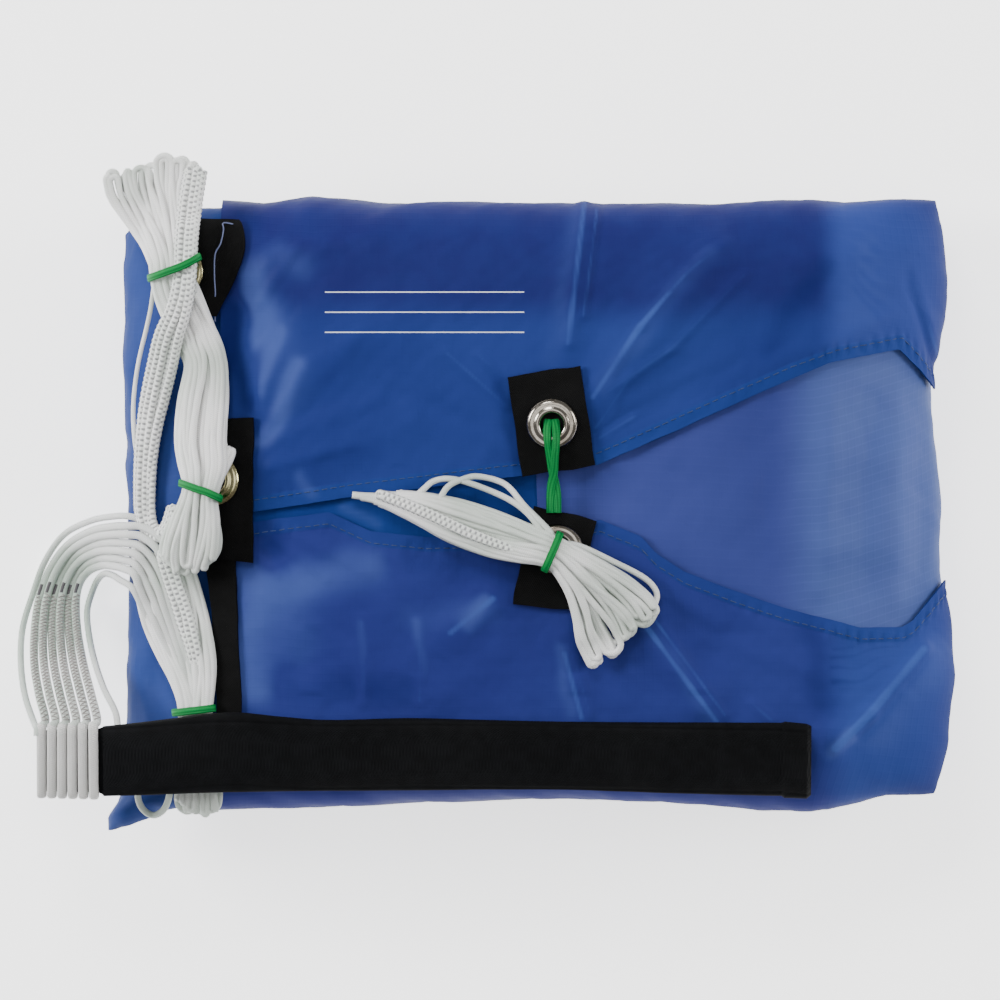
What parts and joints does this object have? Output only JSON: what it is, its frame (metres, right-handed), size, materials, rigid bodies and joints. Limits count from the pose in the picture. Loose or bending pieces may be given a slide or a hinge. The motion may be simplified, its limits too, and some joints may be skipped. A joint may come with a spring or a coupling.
{
  "type": "packed parachute",
  "caption": "Rescue parachute packed in its cloth container, closed by leaves and elastics, with stowed line hanks and a sleeved riser.",
  "frame": {"origin": "middle of the flat base on which the pack lies, level with the surface", "axes": "+X along the pack's length towards the riser's free end, +Y towards the end of the upper hank, +Z out of the pack's front face"},
  "size_m": [0.3386, 0.2368, 0.0937],
  "materials": {
    "canopy_cloth": "calendered ripstop, soft sheen",
    "side_cloth": "calendered ripstop, soft sheen",
    "black_webbing": "matt black woven cloth and webbing",
    "white_line": "braided white line",
    "green_elastic": "flat woven elastic",
    "nickel": "bright nickel plate",
    "worn_brass": "plated brass, slightly worn"
  },
  "bodies": {
    "root": {"pack_body": "canopy_cloth", "left_leaf": "side_cloth", "right_leaf": "side_cloth", "top_flap": "canopy_cloth", "bottom_flap": "canopy_cloth", "tab_upper_middle": "black_webbing", "tab_lower_middle": "black_webbing", "tab_upper_left": "black_webbing", "tab_middle_left": "black_webbing", "eyelet_upper_middle": "nickel", "eyelet_lower_middle": "nickel", "eyelet_upper_left": "worn_brass", "eyelet_middle_left": "worn_brass", "edge_strip": "black_webbing", "upper_hank": "white_line", "braid": "white_line", "middle_left_hank": "white_line", "lower_hank": "white_line", "middle_hank": "white_line", "elastic_upper": "green_elastic", "elastic_middle_left": "green_elastic", "elastic_middle": "green_elastic", "elastic_lower": "green_elastic", "closing_loop": "green_elastic", "riser": "black_webbing", "line_eye_1": "white_line", "line_eye_2": "white_line", "line_eye_3": "white_line", "line_eye_4": "white_line", "line_eye_5": "white_line", "line_eye_6": "white_line", "line_1": "white_line", "line_2": "white_line", "line_3": "white_line", "line_4": "white_line", "line_5": "white_line", "line_6": "white_line", "line_outer_stray": "white_line", "line_inner_stray": "white_line", "line_open_loop": "white_line"}
  },
  "joints": []
}
